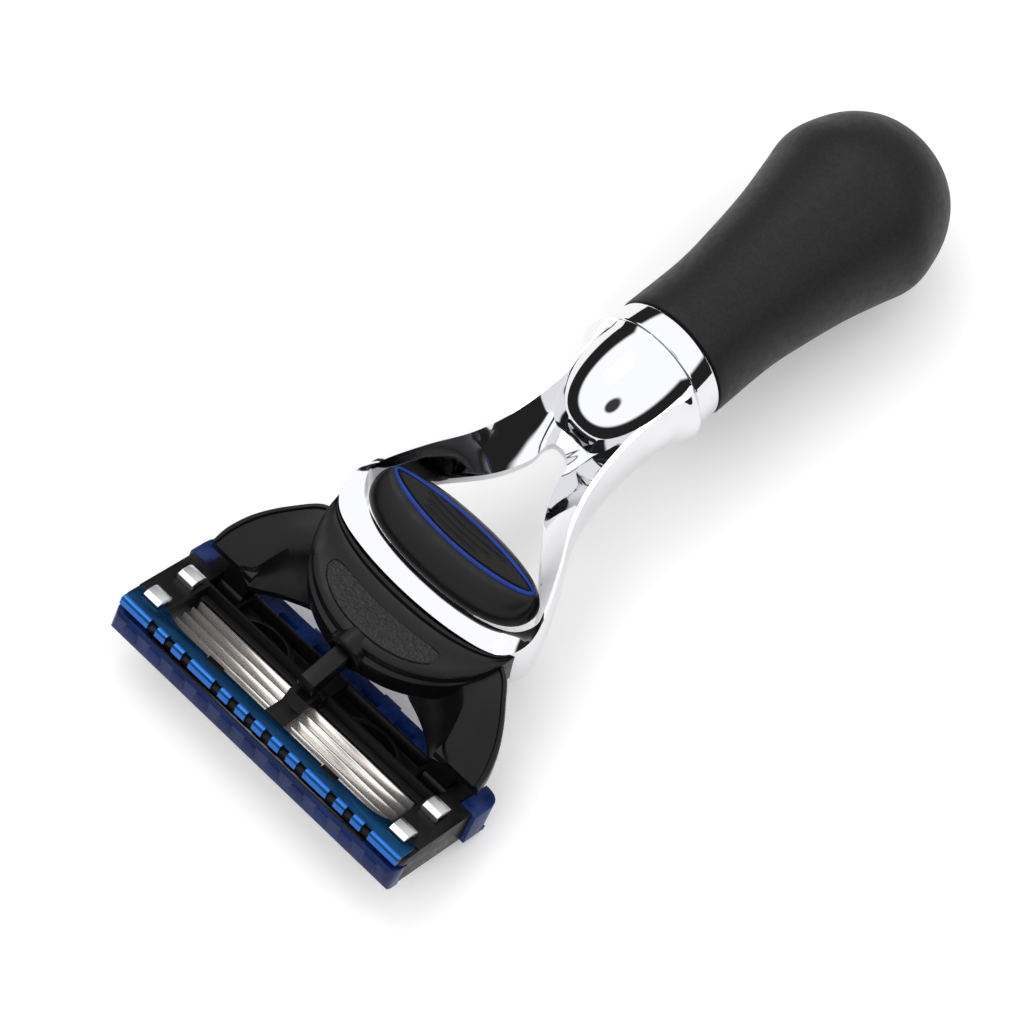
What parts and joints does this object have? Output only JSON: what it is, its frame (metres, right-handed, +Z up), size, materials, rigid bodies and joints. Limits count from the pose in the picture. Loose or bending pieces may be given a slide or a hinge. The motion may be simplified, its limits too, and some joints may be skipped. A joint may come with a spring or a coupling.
{
  "type": "cartridge razor",
  "caption": "Manual cartridge razor with a short bulbous black grip, chrome open neck, sliding release button and pivoting blade cartridge, lying on its face.",
  "frame": {"origin": "bottom centre of the bounding box of the razor lying on a table, on its guard and its grip's bulb", "axes": "+X along the cartridge, +Y from the cartridge to the grip's end, +Z up, away from the shaving face"},
  "size_m": [0.0402, 0.0962, 0.0205],
  "materials": {
    "chrome": "mirror",
    "dark_steel": "plain",
    "spring_steel": "plain",
    "blade_steel": "polished",
    "clip_alloy": "satin",
    "trimmer_plate": "anodised teal blue",
    "soft_black": "matte fine grain",
    "gloss_black": "smooth",
    "button_rubber": "rough with grooves",
    "ring_blue": "smooth",
    "guard_blue": "smooth",
    "fin_rubber": "matte",
    "cap_blue": "smooth",
    "strip": "waxy"
  },
  "bodies": {
    "handle": {"neck_frame": "chrome", "collar_ring": "chrome", "grip_shell": "soft_black", "grip_seal": "soft_black", "grip_core": "dark_steel", "tang_stud": "dark_steel", "dock_block": "gloss_black", "plunger_spring": "spring_steel", "button_spring_left": "spring_steel", "button_spring_right": "spring_steel"},
    "button": {"button_skirt": "gloss_black", "button_ring": "ring_blue", "button_pad": "button_rubber"},
    "plunger": {"plunger": "gloss_black"},
    "yoke": {"cartridge_yoke": "gloss_black"},
    "cartridge": {"housing": "gloss_black", "trimmer_cover": "trimmer_plate", "trimmer_blade": "blade_steel", "cap": "cap_blue", "lubricating_strip": "strip", "guard": "guard_blue", "guard_fins": "fin_rubber", "clip_left": "clip_alloy", "clip_right": "clip_alloy"},
    "blade_1": {"blade_support_1": "blade_steel", "blade_edge_1": "blade_steel"},
    "blade_2": {"blade_support_2": "blade_steel", "blade_edge_2": "blade_steel"},
    "blade_3": {"blade_support_3": "blade_steel", "blade_edge_3": "blade_steel"},
    "blade_4": {"blade_support_4": "blade_steel", "blade_edge_4": "blade_steel"},
    "blade_5": {"blade_support_5": "blade_steel", "blade_edge_5": "blade_steel"}
  },
  "joints": [
    {"name": "button_slide", "type": "slide", "parent": "handle", "child": "button", "axis": [0, -0.999, 0.0445], "range_m": [0, 0.004], "stiffness_N_per_m": 400, "springref_m": -0.002, "deforming": ["button_spring_left", "button_spring_right"]},
    {"name": "cartridge_release", "type": "slide", "parent": "handle", "child": "yoke", "axis": [0, -0.999, 0.0445], "range_m": [0, 0.0096]},
    {"name": "cartridge_pivot", "type": "hinge", "parent": "yoke", "child": "cartridge", "pos_m": [0, -0.03574, 0.00359], "axis": [-1, 0, 0], "range_deg": [0, 40], "stiffness_Nm_per_rad": 0.012, "springref_deg": -20.05},
    {"name": "plunger_slide", "type": "slide", "parent": "handle", "child": "plunger", "axis": [0, -0.999, 0.0445], "range_m": [-0.0055, 0], "deforming": ["plunger_spring"]},
    {"name": "blade_float_1", "type": "slide", "parent": "cartridge", "child": "blade_1", "axis": [0, 0.3899, 0.9208], "range_m": [0, 0.0003], "stiffness_N_per_m": 300, "springref_m": -0.0002},
    {"name": "blade_float_2", "type": "slide", "parent": "cartridge", "child": "blade_2", "axis": [0, 0.3899, 0.9208], "range_m": [0, 0.0003], "stiffness_N_per_m": 300, "springref_m": -0.0002},
    {"name": "blade_float_3", "type": "slide", "parent": "cartridge", "child": "blade_3", "axis": [0, 0.3899, 0.9208], "range_m": [0, 0.0003], "stiffness_N_per_m": 300, "springref_m": -0.0002},
    {"name": "blade_float_4", "type": "slide", "parent": "cartridge", "child": "blade_4", "axis": [0, 0.3899, 0.9208], "range_m": [0, 0.0003], "stiffness_N_per_m": 300, "springref_m": -0.0002},
    {"name": "blade_float_5", "type": "slide", "parent": "cartridge", "child": "blade_5", "axis": [0, 0.3899, 0.9208], "range_m": [0, 0.0003], "stiffness_N_per_m": 300, "springref_m": -0.0002}
  ],
  "couplings": [
    {"joint": "cartridge_release", "follows": "button_slide", "ratio": 2.4},
    {"joint": "plunger_slide", "follows": "cartridge_pivot", "m_per_rad": -0.0078}
  ]
}
